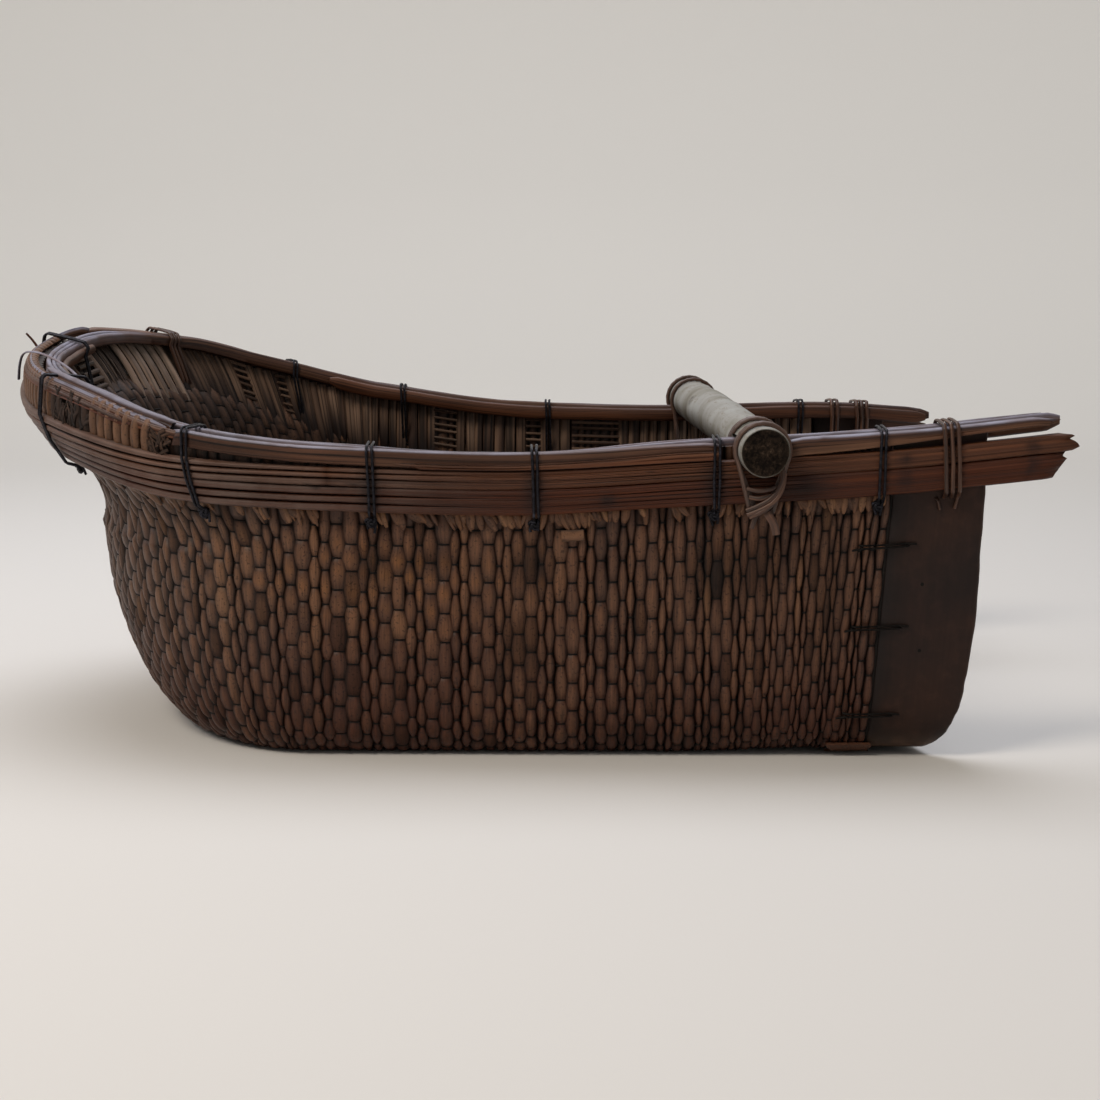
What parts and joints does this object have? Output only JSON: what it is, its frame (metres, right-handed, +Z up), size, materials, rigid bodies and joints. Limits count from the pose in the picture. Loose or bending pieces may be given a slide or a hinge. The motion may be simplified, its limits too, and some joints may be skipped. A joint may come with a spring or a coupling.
{
  "type": "winnowing basket",
  "caption": "Woven willow scoop with a rounded back, hooped bamboo rim, bent wooden lip board at the open mouth and a pole handle lashed across the rims.",
  "frame": {"origin": "centre of the bounding box at floor level, under the flat floor of the basket", "axes": "+X along the basket towards the open mouth, +Y towards the far side, +Z up"},
  "size_m": [0.6682, 0.486, 0.2544],
  "materials": {
    "willow_rods": "peeled rods, worn to a dull shine on the crowns",
    "lip_board_wood": "planed and bent, darkened by handling",
    "bamboo_strips": "split bamboo, satin",
    "bamboo_lower": "split bamboo, satin",
    "bamboo_top": "split bamboo, polished by hands",
    "pole_wood": "barked pole, weathered pale",
    "binding_wire": "annealed iron wire, black",
    "split_cane": "split rattan cane, semi gloss",
    "dark_twine": "twisted hemp twine, dull"
  },
  "bodies": {
    "root": {"woven_body": "willow_rods", "lip_board": "lip_board_wood", "outer_hoop_upper": "bamboo_strips", "outer_hoop_lower": "bamboo_lower", "mouth_top_strip": "bamboo_top", "near_top_strip": "bamboo_top", "far_top_strip": "bamboo_top", "back_top_splint": "bamboo_strips", "inner_hoop": "bamboo_top", "far_inner_strip": "bamboo_top", "bound_splint": "bamboo_strips", "pole_handle": "pole_wood", "pole_lashing_near": "split_cane", "pole_lashing_far": "split_cane", "back_wrap": "split_cane", "near_end_lashing": "split_cane", "far_end_lashing_1": "split_cane", "far_end_lashing_2": "split_cane", "rim_tie_01": "binding_wire", "rim_tie_02": "binding_wire", "rim_tie_03": "binding_wire", "rim_tie_04": "binding_wire", "rim_tie_05": "binding_wire", "rim_tie_06": "binding_wire", "rim_tie_07": "binding_wire", "rim_tie_08": "binding_wire", "rim_tie_09": "binding_wire", "rim_tie_10": "binding_wire", "rim_tie_11": "binding_wire", "near_stitch_1": "dark_twine", "near_stitch_2": "dark_twine", "near_stitch_3": "dark_twine", "far_stitch_1": "dark_twine", "far_stitch_2": "dark_twine", "far_stitch_3": "dark_twine", "floor_stitch_1": "dark_twine", "floor_stitch_2": "dark_twine", "floor_stitch_3": "dark_twine", "floor_stitch_4": "dark_twine", "floor_stitch_5": "dark_twine"}
  },
  "joints": []
}
